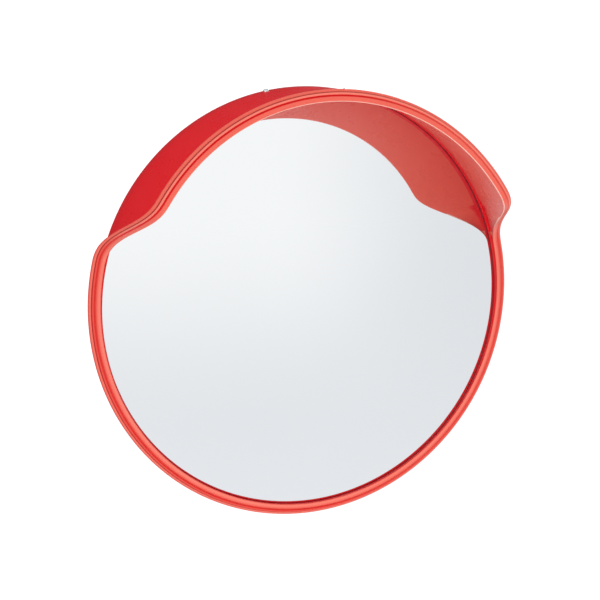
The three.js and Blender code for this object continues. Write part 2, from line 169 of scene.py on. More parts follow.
def loft(name, sections, ring=True, loop=True, matrix=None, smooth=40):
    """A skin over sections that have the same number of points. loop closes each section, ring the last to
    the first; otherwise flat caps close the two ends."""
    count, rows = len(sections[0]), len(sections)
    verts = [p for section in sections for p in section]
    faces = []
    for i in range(rows if ring else rows - 1):
        for j in range(count if loop else count - 1):
            a, b = i * count, ((i + 1) % rows) * count
            k = (j + 1) % count
            faces.append((a + j, b + j, b + k, a + k))
    if not ring:
        faces += [tuple(range(count)), tuple(range((rows - 1) * count, rows * count))]
    return mesh_piece(name, verts, faces, matrix, smooth)


def turned(name, profile, steps=64, matrix=None, closed=False, smooth=40):
    """A profile of (radius, y) turned about Y. An open profile starts and ends on the axis."""
    sections = []
    for i in range(steps):
        c, s = math.cos(TAU * i / steps), math.sin(TAU * i / steps)
        sections.append([(r * c, y, r * s) for r, y in profile])
    return loft(name, sections, ring=True, loop=closed, matrix=matrix, smooth=smooth)


def inset(loop, distance):
    """A loop moved to its left by distance, corner by corner."""
    made = []
    for i, p in enumerate(loop):
        p, before, after = Vector(p), Vector(loop[i - 1]), Vector(loop[(i + 1) % len(loop)])
        a, b = (p - before).normalized(), (after - p).normalized()
        na, nb = Vector((-a.y, a.x)), Vector((-b.y, b.x))
        mitre = (na + nb).normalized()
        made.append(tuple(p + mitre * (distance / max(0.3, mitre.dot(na)))))
    return made


def slab(name, outline, thickness, holes=(), edge=0.5, steps=3, matrix=None):
    """A plate of that outline from z = 0 to z = thickness, with rounded edges and round-edged holes.
    The outline runs anticlockwise and the holes clockwise."""
    profile = [(edge * (1 - math.sin(a)), edge * (1 - math.cos(a))) for a in
               [math.pi / 2 * i / steps for i in range(steps + 1)]]
    levels = profile + [(d, thickness - z) for d, z in reversed(profile)]
    verts, faces = [], []
    for loop in [outline, *holes]:
        base, count = len(verts), len(loop)
        for distance, z in levels:
            verts += [(x, y, z) for x, y in inset(loop, distance)]
        for i in range(len(levels) - 1):
            for j in range(count):
                a, b, k = base + i * count, base + (i + 1) * count, (j + 1) % count
                faces.append((a + j, a + k, b + k, b + j))
    for level in (0, len(levels) - 1):
        picked, start = [], 0
        for loop in [outline, *holes]:
            picked.append([start + level * len(loop) + j for j in range(len(loop))])
            start += len(levels) * len(loop)
        flat = [i for loop in picked for i in loop]
        for t in tessellate_polygon([[Vector(verts[i]) for i in loop] for loop in picked]):
            faces.append(tuple(flat[i] for i in t))
    return mesh_piece(name, verts, faces, matrix)


def hole(x, y, radius, steps=32):
    return list(reversed(arc(x, y, radius, 0, 360, steps)[:-1]))


def rounded_rectangle(width, height, radius, steps=8):
    w, h = width / 2 - radius, height / 2 - radius
    corners = [(w, h, 0), (-w, h, 90), (-w, -h, 180), (w, -h, 270)]
    return [p for x, y, start in corners for p in arc(x, y, radius, start, start + 90, steps)]


def corner_places(x, z):
    return [(x, z), (-x, z), (-x, -z), (x, -z)]


def boolean(obj, operation, *tools):
    for tool in tools:
        step = obj.modifiers.new("step", "BOOLEAN")
        step.operation, step.object, step.solver = operation, tool, "EXACT"
    settle(obj)
    for tool in tools:
        bpy.data.objects.remove(tool)
    tidy_mesh(obj)
    return obj


def settle(obj):
    """Applies the object's modifiers."""
    evaluated = obj.evaluated_get(bpy.context.evaluated_depsgraph_get())
    mesh = bpy.data.meshes.new_from_object(evaluated)
    obj.modifiers.clear()
    old, obj.data = obj.data, mesh
    bpy.data.meshes.remove(old)


def cast_skin(obj, voxel, rounds):
    """Softens a joined shape as a casting is, with fillets where its parts meet."""
    remesh = obj.modifiers.new("cast", "REMESH")
    remesh.mode, remesh.voxel_size = "VOXEL", voxel * MM
    soften = obj.modifiers.new("soften", "SMOOTH")
    soften.factor, soften.iterations = 0.5, rounds
    settle(obj)
    tidy_mesh(obj, 60)
    return obj


def place(x=0, y=0, z=0, turn=None):
    return Matrix.Translation((x, y, z)) @ (turn or Matrix.Identity(4))


HEAD = Matrix.Translation((0, RIM_Y, 0))
LOWERED = Matrix.Translation((0, RIM_Y, -POCKET_DROP))
TO_X = Matrix.Rotation(-math.pi / 2, 4, "Z")  # +Y becomes +X
TO_Z = Matrix.Rotation(math.pi / 2, 4, "X")  # +Y becomes +Z
DOWN_Z = Matrix.Rotation(-math.pi / 2, 4, "X")  # +Y becomes -Z
FLAT_Y = Matrix(((1, 0, 0, 0), (0, 0, -1, 0), (0, 1, 0, 0), (0, 0, 0, 1)))  # x, y, z become x, z, -y
SIDE_X = Matrix(((0, 0, 1, 0), (1, 0, 0, 0), (0, 1, 0, 0), (0, 0, 0, 1)))  # x, y, z become y, z, x


# ---------------------------------------------------------------- materials


class Shader:
    """A Principled material and short calls for the nodes that vary it."""

    def __init__(self, name, **values):
        self.material = bpy.data.materials.new(name)
        self.material.use_nodes = True
        self.tree = self.material.node_tree
        self.bsdf = self.tree.nodes["Principled BSDF"]
        for key, value in values.items():
            self.bsdf.inputs[key.replace("_", " ")].default_value = value
        self.where = self.tree.nodes.new("ShaderNodeTexCoord").outputs["Object"]

    def node(self, kind, **values):
        made = self.tree.nodes.new("ShaderNode" + kind)
        for key, value in values.items():
            setattr(made, key, value)
        return made

    def wire(self, a, b):
        self.tree.links.new(a, b)

    def stretched(self, x, y, z):
        mapping = self.node("Mapping")
        mapping.inputs["Scale"].default_value = (x, y, z)
        self.wire(self.where, mapping.inputs["Vector"])
        return mapping.outputs["Vector"]

    def along(self, axis):
        parts = self.node("SeparateXYZ")
        self.wire(self.where, parts.inputs[0])
        return parts.outputs[axis]

    def noise(self, scale, detail=3.0, rough=0.5, where=None):
        made = self.node("TexNoise")
        made.inputs["Scale"].default_value = scale
        made.inputs["Detail"].default_value = detail
        made.inputs["Roughness"].default_value = rough
        self.wire(where or self.where, made.inputs["Vector"])
        return made.outputs["Fac"]

    def cells(self, scale):
        made = self.node("TexVoronoi")
        made.inputs["Scale"].default_value = scale
        self.wire(self.where, made.inputs["Vector"])
        return made.outputs["Color"]

    def spread(self, value, low, high, to_low=0.0, to_high=1.0):
        made = self.node("MapRange")
        for key, v in zip(("From Min", "From Max", "To Min", "To Max"), (low, high, to_low, to_high)):
            made.inputs[key].default_value = v
        self.wire(value, made.inputs["Value"])
        return made.outputs["Result"]

    def mix(self, share, a, b):
        made = self.node("Mix", data_type="RGBA")
        self.wire(share, made.inputs[0])
        for socket, colour in ((made.inputs[6], a), (made.inputs[7], b)):
            if isinstance(colour, tuple):
                socket.default_value = (*colour, 1)
            else:
                self.wire(colour, socket)
        return made.outputs[2]

    def attribute(self, name):
        return self.node("Attribute", attribute_name=name).outputs["Fac"]

    def ramp(self, share, stops):
        made = self.node("ValToRGB")
        points = made.color_ramp.elements
        while len(points) < len(stops):
            points.new(0.5)
        for point, (at, colour) in zip(points, stops):
            point.position, point.color = at, (*colour, 1)
        self.wire(share, made.inputs["Fac"])
        return made.outputs["Color"]

    def maths(self, operation, a, b):
        made = self.node("Math", operation=operation)
        for socket, value in zip(made.inputs, (a, b)):
            if isinstance(value, (int, float)):
                socket.default_value = value
            else:
                self.wire(value, socket)
        return made.outputs[0]

    def colour(self, socket):
        self.wire(socket, self.bsdf.inputs["Base Color"])

    def roughness(self, socket):
        self.wire(socket, self.bsdf.inputs["Roughness"])

    def bump(self, height, strength, distance):
        made = self.node("Bump")
        made.inputs["Strength"].default_value = strength
        made.inputs["Distance"].default_value = distance
        self.wire(height, made.inputs["Height"])
        before = self.bsdf.inputs["Normal"]
        if before.is_linked:
            self.wire(before.links[0].from_socket, made.inputs["Normal"])
        self.wire(made.outputs["Normal"], before)


def red_plastic():
    """Glossy moulded red. Its colour follows two attributes: band, the place across the moulding in
    millimetres, and hood, how far the hood has swept forward there. Much of that colour is painted light and
    shade: highlights and sheen on the bead, shade in its lines and grooves, and a darker rear edge."""
    s = Shader("red_plastic", Metallic=0.0, IOR=1.5, Specular_IOR_Level=0.2, Coat_Weight=0.0)
    s.bsdf.inputs["Specular Tint"].default_value = (1.0, 0.70, 0.62, 1)
    band, hood = s.attribute("band"), s.attribute("hood")
    across = s.spread(band, BAND_LOW, BAND_HIGH)
    tones = [s.ramp(across, [((at - BAND_LOW) / (BAND_HIGH - BAND_LOW), colour) for at, colour in stops])
             for stops in (RIM_TONES, HOOD_TONES)]
    # Painted shade: a dark red strip along the bead's groove, from start to end across the band.
    start, full, fading, end = GROOVE_SHADE_EDGES
    groove_shade = s.maths("MULTIPLY", s.spread(band, start, full), s.spread(band, end, fading))
    # Painted light: towards the right of the hood the groove's painted shade fades most of the way to the lit
    # salmon.
    right_side_light = s.maths("MULTIPLY", groove_shade, s.spread(s.along("X"), 0.02, 0.16, 0.0, 0.75))
    tone = s.mix(right_side_light, s.mix(s.spread(hood, 0.0, 0.5), *tones), SHEEN_SALMON)
    blotches = s.spread(s.noise(7, 4), 0.35, 0.65, 0.0, 0.06)
    tone = s.mix(blotches, tone, (0.60, 0.016, 0.014))
    s.colour(tone)
    scuffs = s.spread(s.noise(180, 5, 0.6, s.stretched(1, 0.15, 1)), 0.55, 0.8, 0.0, 0.12)
    s.roughness(s.maths("ADD", scuffs, s.spread(s.noise(30, 4), 0.3, 0.7, 0.24, 0.34)))
    s.bump(s.noise(1400, 2), 0.05, 0.0002)
    s.bump(s.noise(22, 2), 0.06, 0.0015)
    return s.material


# A rubber seal whose dark red also stands in for the shade in the gap between the mirror and the frame:
# partly the seal's colour, partly painted shade.
def seal_rubber_and_shade():
    s = Shader("seal_rubber_and_shade", Metallic=0.0)
    s.colour(s.mix(s.noise(60, 4), (0.44, 0.006, 0.010), (0.52, 0.010, 0.014)))
    s.roughness(s.spread(s.noise(90, 4), 0.3, 0.7, 0.5, 0.7))
    s.bump(s.noise(900, 3), 0.2, 0.0002)
    return s.material


def mirror_face():
    s = Shader("mirror_face", Metallic=1.0)
    s.colour(s.mix(s.spread(s.noise(3, 2), 0.35, 0.65), (0.915, 0.925, 0.930), (0.925, 0.932, 0.937)))
    s.roughness(s.spread(s.noise(9, 5, 0.6), 0.3, 0.75, 0.012, 0.045))
    s.bump(s.noise(6, 1), 0.02, 0.0005)
    return s.material


def rubber():
    s = Shader("rubber", Metallic=0.0)
    s.colour(s.mix(s.noise(40, 4), (0.012, 0.012, 0.012), (0.035, 0.034, 0.033)))
    s.roughness(s.spread(s.noise(90, 4), 0.3, 0.7, 0.72, 0.92))
    s.bump(s.noise(900, 3), 0.25, 0.0002)
    return s.material


def galvanised():
    s = Shader("galvanised", Metallic=0.85)
    cells = s.cells(130)
    shade = s.spread(cells, 0.1, 0.9)
    stain = s.spread(s.noise(14, 5, 0.6), 0.4, 0.7)
    s.colour(s.mix(s.maths("MULTIPLY", stain, 0.5), s.mix(shade, (0.46, 0.48, 0.49), (0.66, 0.68, 0.69)),
                   (0.58, 0.59, 0.58)))
    s.roughness(s.maths("ADD", s.spread(cells, 0.0, 1.0, 0.30, 0.46), s.spread(stain, 0, 1, 0.0, 0.10)))
    s.bump(s.noise(260, 3), 0.12, 0.0004)
    s.bump(s.noise(45, 2), 0.10, 0.0010)
    return s.material


def zinc():
    s = Shader("zinc", Metallic=1.0)
    s.colour(s.mix(s.spread(s.noise(60, 5, 0.6), 0.35, 0.7), (0.70, 0.71, 0.72), (0.58, 0.585, 0.575)))
    s.roughness(s.spread(s.noise(220, 4), 0.3, 0.7, 0.20, 0.36))
    s.bump(s.noise(700, 3), 0.10, 0.0002)
    return s.material


def powder_coat():
    s = Shader("powder_coat", Metallic=0.0, IOR=1.5)
    s.colour(s.mix(s.noise(35, 4), (0.018, 0.019, 0.020), (0.034, 0.035, 0.037)))
    s.roughness(s.spread(s.noise(60, 4), 0.3, 0.7, 0.42, 0.58))
    s.bump(s.noise(520, 2), 0.30, 0.0003)
    return s.material


def nylon():
    s = Shader("nylon", Metallic=0.0, IOR=1.53, Subsurface_Weight=0.15, Subsurface_Scale=0.002)
    s.colour(s.mix(s.noise(50, 4), (0.72, 0.69, 0.62), (0.80, 0.77, 0.71)))
    s.roughness(s.spread(s.noise(120, 4), 0.3, 0.7, 0.40, 0.55))
    s.bump(s.noise(400, 2), 0.08, 0.0002)
    return s.material


# Colours across the red moulding, by band. Besides the deep red of the walls they are painted light and
# shade:
# highlights and sheen on the bead, shade in its lines and grooves, painted light and shade up the hood's
# inside, and a darker rear edge. It is -6 beside the mirror and runs from -5 to -1 up the hood's inside to
# its lip. On the bead it is the distance out from the lip, and on the outer wall it runs from 20 to 21 at the
# rear.
BAND_LOW, BAND_HIGH = -6, 22
# The deep red of the walls and shell, and a painted shade that darkens the outer wall towards its rear edge.
DEEP, DEEP_REAR_SHADE = (0.74, 0.005, 0.012), (0.56, 0.004, 0.010)
# Painted shade: dark lines along the lip's edge and in the bead's grooves.
SHADE_LINE, SHADE_LINE_RED = (0.30, 0.008, 0.008), (0.44, 0.010, 0.010)
# Painted light and shade up the hood's inside: redder deep down beside the mirror, lighter towards the lip.
INSIDE_DEEP_SHADE, INSIDE_LIP_LIT = (0.80, 0.080, 0.055), (0.80, 0.115, 0.080)
# Painted light on the bead: a lit salmon with sheen and pale highlights; the groove colour is painted shade.
SHEEN_SALMON, PALE_HIGHLIGHT, GROOVE_SHADE = (0.73, 0.120, 0.085), (0.78, 0.190, 0.140), (0.64, 0.010, 0.013)
# A painted highlight along the hood's lip.
LIP_HIGHLIGHT = (0.88, 0.50, 0.41)
# Where the groove's painted shade starts, is full, fades and ends, across the bead.
GROOVE_SHADE_EDGES = (6.2, 6.9, 8.6, 9.3)
MIRROR_BAND, INSIDE_BAND, INSIDE_SPAN, WALL_BAND, SHELL_BAND = -6.0, -5, 4, 20, 20.2
# The outer wall darkens towards its rear edge: painted shade.
WALL_TONES = [(16.4, DEEP), (20.0, DEEP), (21.0, DEEP_REAR_SHADE)]
# The hood's colours, from beside the mirror out to the wall: painted light and shade up the inside, a painted
# highlight on the lip, then the bead's lit salmon, pale highlights, shaded groove and shade line.
HOOD_TONES = [
    (-5.6, (0.74, 0.005, 0.016)),
    (-5.0, INSIDE_DEEP_SHADE),
    (-1.0, INSIDE_LIP_LIT),
    (-0.4, INSIDE_LIP_LIT),
    (-0.1, LIP_HIGHLIGHT),
    (0.7, LIP_HIGHLIGHT),
    (1.1, SHEEN_SALMON),
    *zip(GROOVE_SHADE_EDGES, (SHEEN_SALMON, GROOVE_SHADE, GROOVE_SHADE, PALE_HIGHLIGHT)),
    (11.4, PALE_HIGHLIGHT),
    (11.9, SHADE_LINE),
    (12.2, SHADE_LINE),
    (12.8, SHEEN_SALMON),
    (15.5, SHEEN_SALMON),
    *WALL_TONES,
]
# The rim's colours: painted shade on the inner wall and the lip's edge, the bead's lit salmon and pale
# highlights, painted shade on its steps and in its groove, and a painted darker outer edge.
RIM_TONES = [
    (-5.0, DEEP),
    (-0.3, SHADE_LINE_RED),
    (0.2, SHADE_LINE_RED),
    (0.6, SHEEN_SALMON),
    (2.5, PALE_HIGHLIGHT),
    (5.5, SHEEN_SALMON),
    (7.2, (0.68, 0.060, 0.045)),
    (8.6, (0.66, 0.030, 0.026)),
    (10.8, (0.70, 0.080, 0.058)),
    (11.8, SHADE_LINE_RED),
    (12.2, SHADE_LINE_RED),
    (12.8, PALE_HIGHLIGHT),
    (14.8, SHEEN_SALMON),
    (15.8, (0.60, 0.030, 0.026)),
    *WALL_TONES,
]

MATERIALS = {
    "red_plastic": red_plastic(),
    "mirror": mirror_face(),
    "rubber": rubber(),
    "seal": seal_rubber_and_shade(),
    "galvanised": galvanised(),
    "zinc": zinc(),
    "cast": powder_coat(),
    "nylon": nylon(),
}
SLOT_OF = {part["node"]: part["material_slot"] for part in frame["record"]["subparts"]}


def dress(obj, material_slot):
    obj.data.materials.clear()
    obj.data.materials.append(MATERIALS[material_slot])


def finish_piece(obj, body, node=None, material_slot=None):
    """The piece takes its material, rides on its body and stands for the CAD node it was made from."""
    material_slot = material_slot or SLOT_OF[node]
    dress(obj, material_slot)
    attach(obj, body)
    if node:
        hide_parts(node)


# ---------------------------------------------------------------- frame, mirror and shell


def mix(a, b, t):
    return a + (b - a) * t


def hood_share(angle):
    above = math.asin(math.sin(angle))
    t = min(1.0, max(0.0, (above - HOOD_START) / (HOOD_FULL - HOOD_START)))
    return t * t * t * (t * (6 * t - 15) + 10)


BEAD = [  # (out from the lip, back from the rim plane, corner curve)
    (BEAD_WIDTH - 1.4, BEAD_DEPTH, 1.2),
    (BEAD_WIDTH, 8.2, 1.6),
    (BEAD_WIDTH - 1, 5, 1.6),
    (12.4, 4.6, 0.9),
    (11.8, 2, 0.9),
    (9.2, 1.2, 0.8),
    (8, 2.8, 0.7),
    (6.3, 0.1, 0.8),
    (0.8, -0.3, 0.5),
    (0, 0.5, 0.5),
]


def hood_edge(angle):
    """At that angle, how far the hood has swept forward (0 to 1), its reach, and its lip's radius."""
    share = hood_share(angle)
    reach = share * (HOOD_REACH + HOOD_EXTRA * (1 - math.sin(angle)))
    return share, reach, LIP_R - HOOD_TAPER * reach


def frame_section(angle):
    """One section of the frame as (radius, depth) points."""
    share, reach, lip = hood_edge(angle)

    def pocket(radius):
        return radius - POCKET_DROP * math.sin(angle)

    ledge = mix(min(pocket(LEDGE_R), LIP_R), pocket(LEDGE_R), share)
    corners = [
        (pocket(BODY_R), FRAME_BACK, 1.2),
        (pocket(BODY_R), mix(BEAD_DEPTH + 0.8, HOOD_KNEE, share), mix(1.2, 6, share)),
        (mix(pocket(BODY_R), lip + WALL, share), BEAD_DEPTH + 0.4 - reach, 1.0),
        *[(lip + out, back - reach, curve) for out, back, curve in BEAD],
        (lip + 0.15 * share, 0.6 + 1.4 * share - reach, 0),
        (mix(LIP_R, pocket(HOOD_BASE_R - 0.3), share), mix(0.7, -HOOD_UPRIGHT, share), mix(0.02, 1.2, share)),
        (mix(LIP_R, pocket(HOOD_BASE_R), share), LEDGE_FRONT - 0.3, mix(0.02, 0.4, share)),
        (ledge, LEDGE_FRONT, 0.3),
        (ledge, LEDGE_BACK, 0.3),
        (pocket(POCKET_R), LEDGE_BACK + 0.2, 0),
        (pocket(POCKET_R), FRAME_BACK, 0.6),
    ]
    return filleted([c[:2] for c in corners], [c[2] for c in corners], 3)


def frame_angles():
    """Steps round the frame, closer together where the hood sweeps forward."""
    step = TAU / FRAME_STEPS
    angles = []
    for i in range(FRAME_STEPS):
        sweeping = 0 < hood_share((i + 0.5) * step) < 1
        angles += [(i + k / SWEEP_STEPS) * step for k in range(SWEEP_STEPS)] if sweeping else [i * step]
    return angles


def at_screw(degrees):
    """Turns a shape along Y, with the screw's seat at y = 0, to point outwards at a screw place."""
    top = degrees in TOP_SCREWS
    depth, lean = (TOP_SCREW_DEPTH, TOP_SCREW_LEAN) if top else (LOW_SCREW_DEPTH, 0.0)
    outward = Matrix.Rotation(-math.radians(degrees), 4, "Y") @ Matrix.Translation((SCREW_SEAT, 0, 0))
    return place(0, RIM_Y + depth, -POCKET_DROP) @ outward @ Matrix.Rotation(-lean, 4, "Z") @ TO_X


def frame_band(point):
    """The band and hood attributes of a point on the frame, in millimetres."""
    x, y, z = point
    angle, radius, depth = math.atan2(z, x), math.hypot(x, z), y - RIM_Y
    share, reach, lip = hood_edge(angle)
    out, back = radius - lip, depth + reach
    if back < BEAD_DEPTH + 0.2 and out > -0.2 and (out > 0.4 or back < 1.4):
        return min(float(BEAD_WIDTH), max(0.0, out)), share
    pocket = POCKET_DROP * math.sin(angle)
    along = min(1.0, max(0.0, -(depth + HOOD_UPRIGHT) / max(1.0, reach - 2 - HOOD_UPRIGHT)))
    inner = mix(mix(LIP_R, HOOD_BASE_R - 0.3 - pocket, share), lip, along)
    if radius > (inner + 0.9 if depth < 0 else BODY_R - pocket - 1.0):
        # The outer wall's band rises towards the rear; the material turns that into painted shade.
        return WALL_BAND + min(1.0, max(0.0, (depth + 26) / 44)), share
    # Up the hood's inside the band runs towards the lip, which the material paints lighter as painted light.
    return (MIRROR_BAND if depth > -HOOD_UPRIGHT + 0.9 else INSIDE_BAND + INSIDE_SPAN * along), share


def paint(obj, shade):
    """Stores shade(point) as the mesh's band and hood attributes."""
    values = [shade(v.co / MM) for v in obj.data.vertices]
    for k, name in enumerate(("band", "hood")):
        made = obj.data.attributes.new(name, "FLOAT", "POINT")
        made.data.foreach_set("value", [float(v[k]) for v in values])


def build_frame():
    sections = []
    for angle in frame_angles():
        c, s = math.cos(angle), math.sin(angle)
        sections.append([(r * c, y, r * s) for r, y in frame_section(angle)])
    moulding = loft("frame_moulding", sections, matrix=HEAD)
    for degrees in TOP_SCREWS:
        boss = rod("tool", BOSS_PAD_R, -6, -GAP, at_screw(degrees), 40, 0.4)
        boolean(boss, "DIFFERENCE", rod("tool", POCKET_R + 0.4, -20, 40, LOWERED, 256))
        boolean(moulding, "DIFFERENCE", rod("tool", BOSS_PAD_R - 0.4, -GAP, 9, at_screw(degrees), 40))
        boolean(moulding, "UNION", boss)
    paint(moulding, frame_band)
    finish_piece(moulding, "mirror_head", "hood_frame")


def dome_arc(edge_r, edge_depth, steps):
    centre = edge_depth + math.sqrt(DOME_RADIUS**2 - edge_r**2)
    half = math.asin(edge_r / DOME_RADIUS)
    turn = [half * i / steps for i in range(steps + 1)]
    return [(DOME_RADIUS * math.sin(a), centre - DOME_RADIUS * math.cos(a)) for a in turn]


def build_mirror():
    inner = MIRROR_R - DOME_THICKNESS
    front = dome_arc(MIRROR_R - 0.5, MIRROR_EDGE, 56)
    rear = dome_arc(inner, MIRROR_EDGE + DOME_THICKNESS - 0.4, 12)
    profile = [*front, (MIRROR_R - 0.15, MIRROR_EDGE + 0.2), (MIRROR_R, MIRROR_EDGE + 0.7)]
    profile += [(MIRROR_R, SKIRT_BACK), (inner, SKIRT_BACK), *reversed(rear)]
    finish_piece(turned("mirror_shell", profile, MIRROR_STEPS, LOWERED), "mirror_head", "mirror_dome")
    low, high = LEDGE_BACK + GAP, MIRROR_EDGE - GAP
    inside, outside = MIRROR_R - 0.9, MIRROR_R + 0.2
    seal = filleted([(inside, low), (outside, low), (outside, high), (inside, high)], [0.3] * 4, 3)
    ring = turned("mirror_seal", seal, MIRROR_STEPS, LOWERED, closed=True)
    finish_piece(ring, "mirror_head", "mirror_gasket")


def build_shell():
    flange = FRAME_BACK + GAP
    corners = [
        (0, BOSS_FACE - SHELL_WALL, 0),
        (BOSS_R, BOSS_FACE - SHELL_WALL, 6),
        (225, 37.4, 6),
        (SHELL_LIP_R - SHELL_WALL, flange + 2, 1),
        (SHELL_LIP_R - SHELL_WALL, SHELL_FRONT, 0.5),
        (SHELL_LIP_R, SHELL_FRONT, 0.5),
        (SHELL_LIP_R, flange, 0),
        (BODY_R, flange, 0.5),
        (BODY_R - 0.6, flange + 2.4, 1.2),
        (BODY_R - 5, flange + 5.5, 3),
        (206, 47.2, 3),
        (200, 50.6, 2.5),
        (192, 49.6, 3),
        (BOSS_R + 6, 61.2, 3),
        (BOSS_R, BOSS_FACE, 3),
        (0, BOSS_FACE, 0),
    ]
    profile = filleted([c[:2] for c in corners], [c[2] for c in corners], 5, closed=False)
    shell = turned("shell_moulding", profile, SHELL_STEPS, LOWERED)
    holes = [
        turned("tool", [(0, 50), (M6_HOLE_R, 50), (M6_HOLE_R, 70), (0, 70)], 24, place(x, RIM_Y, z))
        for x, z in corner_places(BOLT_X, BOLT_Z)
    ]
    boolean(shell, "DIFFERENCE", *holes)
    paint(shell, lambda point: (SHELL_BAND, 0.0))
    finish_piece(shell, "mirror_head", "rear_shell")


# ---------------------------------------------------------------- fasteners


def thread(radius, start, end, pitch, depth):
    """(radius, y) points of rolled thread ridges from start to end."""
    made, y = [], start
    while y + pitch <= end:
        made += [(radius, y + pitch * 0.12), (radius, y + pitch * 0.32), (radius - depth, y + pitch * 0.62),
                 (radius - depth, y + pitch * 0.78)]
        y += pitch
    return made


def hex_sections(across, bottom, top, bore, edge, steps=12):
    """Sections of a hexagon with its corners chamfered to a circle at both faces."""
    sections = []
    for i in range(6 * steps):
        angle = TAU * i / (6 * steps)
        away = (angle + math.pi / 6) % (math.pi / 3) - math.pi / 6
        radius = across / 2 / math.cos(away)
        fall = max(0.0, radius - across / 2 * 0.985) * math.tan(math.radians(30)) + 0.05
        ring = across / 2 * 0.985
        profile = [(bore, bottom), (ring - edge, bottom), (ring, bottom + 0.03), (radius, bottom + fall),
                   (radius, top - fall), (ring, top - 0.03), (ring - edge, top), (bore, top)]
        c, s = math.cos(angle), math.sin(angle)
        sections.append([(r * c, y, r * s) for r, y in profile])
    return sections


def frame_screws():
    for i, degrees in enumerate([*TOP_SCREWS, *LOW_SCREWS]):
        size = 3.8 if degrees in TOP_SCREWS else 3.0
        head = [(size, 0), (size - 0.2, 1.2), (size - 1.6, 2), (0, 2)]
        shank = [(0, -13), (1.2, -11), (1.6, -9.5), (1.6, 0)]
        profile = filleted(shank + head, [0, 0, 0, 0, 0.3, 0.9, 0.9, 0], 4, closed=False)
        where = at_screw(degrees)
        screw = turned(f"screw_detail_{i + 1}", profile, 40, where)
        cross = []
        for spin in (0, 90):
            outline = rounded_rectangle(size * 1.15, 1.0, 0.1, 2)
            lie = where @ place(0, 0.9) @ Matrix.Rotation(math.radians(spin + 20), 4, "Y")
            cross.append(slab("tool", outline, 3, edge=0.05, steps=1, matrix=lie @ DOWN_Z @ place(0, 0, -3)))
        finish_piece(boolean(screw, "DIFFERENCE", *cross), "mirror_head", f"frame_screw_{i + 1}")


def clamp_stack():
    places = corner_places(BOLT_X, BOLT_Z)
    holes = [hole(x, z, M6_HOLE_R) for x, z in places]
    backing_front = BOSS_FACE - SHELL_WALL - GAP - BACKING_THICKNESS
    upright = lambda depth: place(0, RIM_Y + depth, 0, FLAT_Y)
    backing = slab("backing_steel", rounded_rectangle(130, 100, 8), BACKING_THICKNESS, holes, 0.4,
                   matrix=upright(backing_front + BACKING_THICKNESS))
    finish_piece(backing, "mirror_head", "backing_plate")
    pad = slab("pad_rubber", rounded_rectangle(126, 96, 8), PAD_THICKNESS, holes, 0.4,
               matrix=upright(BOSS_FACE + GAP + PAD_THICKNESS))
    finish_piece(pad, "mirror_head", "bracket_pad")

    seat = backing_front - GAP
    washer_at = BRACKET_FACE + STEEL + GAP
    nut_at = washer_at + M6_WASHER + GAP
    tip = nut_at + M6_NUT + 2.5
    shank = [(0, seat - 1), (M6_R, seat - 1), (M6_R, washer_at - 6)]
    shank += thread(M6_R, washer_at - 6, tip - 0.8, M6_PITCH, 0.45)
    shank += [(M6_R - 0.5, tip - 0.4), (M6_R - 0.9, tip), (0, tip)]
    for i, (x, z) in enumerate(places):
        where = place(x, RIM_Y, z)
        head = hex_sections(10, seat - M6_HEAD, seat, 0, 0.4)
        bolt = loft(f"m6_bolt_{i + 1}", head, loop=False, matrix=where)
        boolean(bolt, "UNION", turned("tool", shank, 32, where))
        finish_piece(bolt, "mirror_head", f"bracket_bolt_{i + 1}")
        ring = washer_profile(M6_HOLE_R, 6, washer_at, M6_WASHER)
        finish_piece(turned(f"m6_washer_{i + 1}", ring, 48, where, closed=True), "mirror_head",
                     f"bracket_washer_{i + 1}")
        spin = Matrix.Rotation(math.radians(17 * i), 4, "Y")
        nut = loft(f"m6_nut_{i + 1}", hex_sections(10, nut_at, nut_at + M6_NUT, M6_HOLE_R, 0.4),
                   matrix=where @ spin)
        finish_piece(nut, "mirror_head", f"bracket_nut_{i + 1}")


def washer_profile(inner, outer, start, thickness):
    end = start + thickness
    return filleted([(inner, start), (outer, start), (outer, end), (inner, end)], [0.2, 0.35, 0.35, 0.2], 3)


def pivot_bolt(name, length, matrix):
    """An M8 bolt with a domed head, a square neck and a threaded end."""
    corners = [(0, -4.6), (5, -4), (8.6, -2), (9.4, 0), (M8_R, 0)]
    dome = filleted(corners, [0, 2.5, 2, 0.5, 0], 5, closed=False)
    shank = [(M8_R, 0), (M8_R, length - 16), *thread(M8_R, length - 16, length - 1, M8_PITCH, 0.55)]
    shank += [(M8_R - 0.7, length - 0.6), (M8_R - 1.2, length), (0, length)]
    bolt = turned(name, dome[:-1] + shank, 48, matrix)
    neck = slab("tool", rounded_rectangle(NECK, NECK, 0.6, 3), STEEL, edge=0.3,
                matrix=matrix @ FLAT_Y @ place(0, 0, -STEEL))
    return boolean(bolt, "UNION", neck)


def wing_nut(name, matrix):
    hub = turned(name, filleted([(0, 0), (8, 0), (6.6, 9), (0, 9)], [0, 0.6, 1.2, 0], 4, closed=False), 48)
    tools = []
    outline = [(3, 1.6), (8.6, 1.5), (12, 4.3), (15.5, 6.6)]
    outline += arc(WING_SPAN / 2 - 5, WING_HEIGHT - 5.5, 4.9, -63, 135, 14) + [(8, 11.8), (3, 8.4)]
    for spin in (0, math.pi):
        lie = Matrix.Rotation(spin, 4, "Y") @ place(0, 0, -1.6)
        tools.append(slab("tool", outline, 3.2, edge=0.9, matrix=lie))
    nut = cast_skin(boolean(hub, "UNION", *tools), 0.45, 5)
    bore = turned("tool", [(0, -2), (M8_HOLE_R, -2), (M8_HOLE_R, 14), (0, 14)], 40)
    boolean(nut, "DIFFERENCE", bore)
    nut.data.transform(Matrix.Translation(matrix.translation * MM) @ matrix.to_3x3().to_4x4())
    return nut


# ---------------------------------------------------------------- bracket


